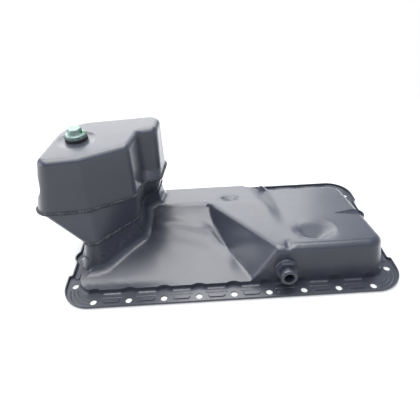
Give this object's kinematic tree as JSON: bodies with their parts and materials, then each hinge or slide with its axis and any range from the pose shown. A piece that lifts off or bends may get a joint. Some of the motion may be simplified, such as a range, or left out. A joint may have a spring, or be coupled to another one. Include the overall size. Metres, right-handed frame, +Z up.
{
  "type": "engine oil pan",
  "caption": "Pressed-steel engine oil pan lying on its gasket face: shallow bolted tray, deep welded sump at one end, drain plug on top and a small return port in the wall.",
  "frame": {"origin": "centre of the flange's bolt rectangle, on the gasket face", "axes": "+Z up from the gasket face to the drain plug, X along the flange with the sump at -X, -Y towards the wall with the return port"},
  "size_m": [0.4554, 0.244, 0.1826],
  "materials": {
    "e_coat": "semi-gloss black electrocoat on pressed steel",
    "weld": "electrocoat over a rough weld bead",
    "zinc": "pale green zinc plate, satin",
    "seal": "black bonded seal, satin"
  },
  "bodies": {
    "pan": {"upper_pan": "e_coat", "neck": "e_coat", "sump_bowl": "e_coat", "lower_weld": "weld", "upper_weld": "weld", "drain_boss": "e_coat", "drain_boss_weld": "weld", "port_fitting": "e_coat", "port_nut": "e_coat", "port_seat": "e_coat"},
    "washer": {"drain_washer": "seal"},
    "plug": {"drain_plug": "zinc"}
  },
  "joints": [
    {"name": "plug_lift", "type": "slide", "parent": "pan", "child": "washer", "axis": [0, 0, 1], "range_m": [0, 0.0105]},
    {"name": "plug_turn", "type": "hinge", "parent": "washer", "child": "plug", "pos_m": [-0.183, 0.003, 0.17], "axis": [0, 0, 1], "range_deg": [0, 2520]}
  ],
  "couplings": [
    {"joint": "plug_turn", "follows": "plug_lift", "rad_per_m": 4188.8}
  ]
}
